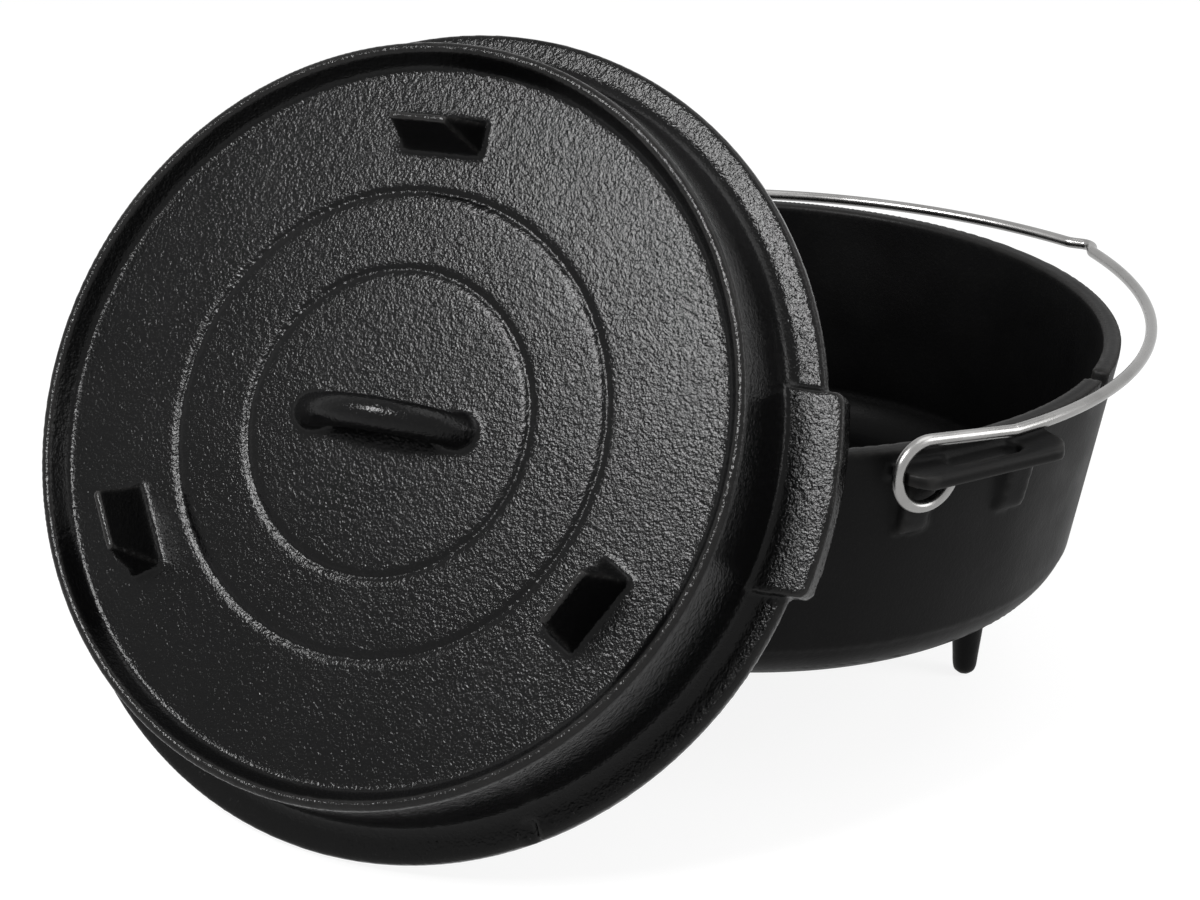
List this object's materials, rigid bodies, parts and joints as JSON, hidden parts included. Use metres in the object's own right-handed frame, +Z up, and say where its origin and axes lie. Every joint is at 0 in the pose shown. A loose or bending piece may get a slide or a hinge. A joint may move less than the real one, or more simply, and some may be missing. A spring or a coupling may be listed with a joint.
{
  "type": "camp dutch oven",
  "caption": "Cast-iron camp dutch oven on short legs, with its flanged lid leaning against the pot, a loop handle and feet on the lid, and a bent wire bail hooked on the pot's ears.",
  "frame": {"origin": "on the ground plane, on the pot's axis, midway between the ears", "axes": "+Z up along the pot's axis; X runs through both ears; the bail lies on the +Y side and the lid leans on the -Y side"},
  "size_m": [0.3498, 0.4815, 0.2825],
  "materials": {
    "pot_iron": "seasoned black casting, fine grain",
    "lid_iron": "seasoned black casting, coarse sand grain",
    "bail_wire": "satin bent wire"
  },
  "bodies": {
    "pot": {"pot": "pot_iron"},
    "lid": {"lid": "lid_iron"},
    "bail": {"bail": "bail_wire"}
  },
  "joints": [
    {"name": "bail_swing", "type": "hinge", "parent": "pot", "child": "bail", "pos_m": [0, -0.0265, 0.14615], "axis": [1, 0, 0], "range_deg": [0, 115]},
    {"name": "lid_lift", "type": "slide", "parent": "pot", "child": "lid", "axis": [0.4423, -0.7332, 0.5165], "range_m": [0, 0.2]}
  ]
}
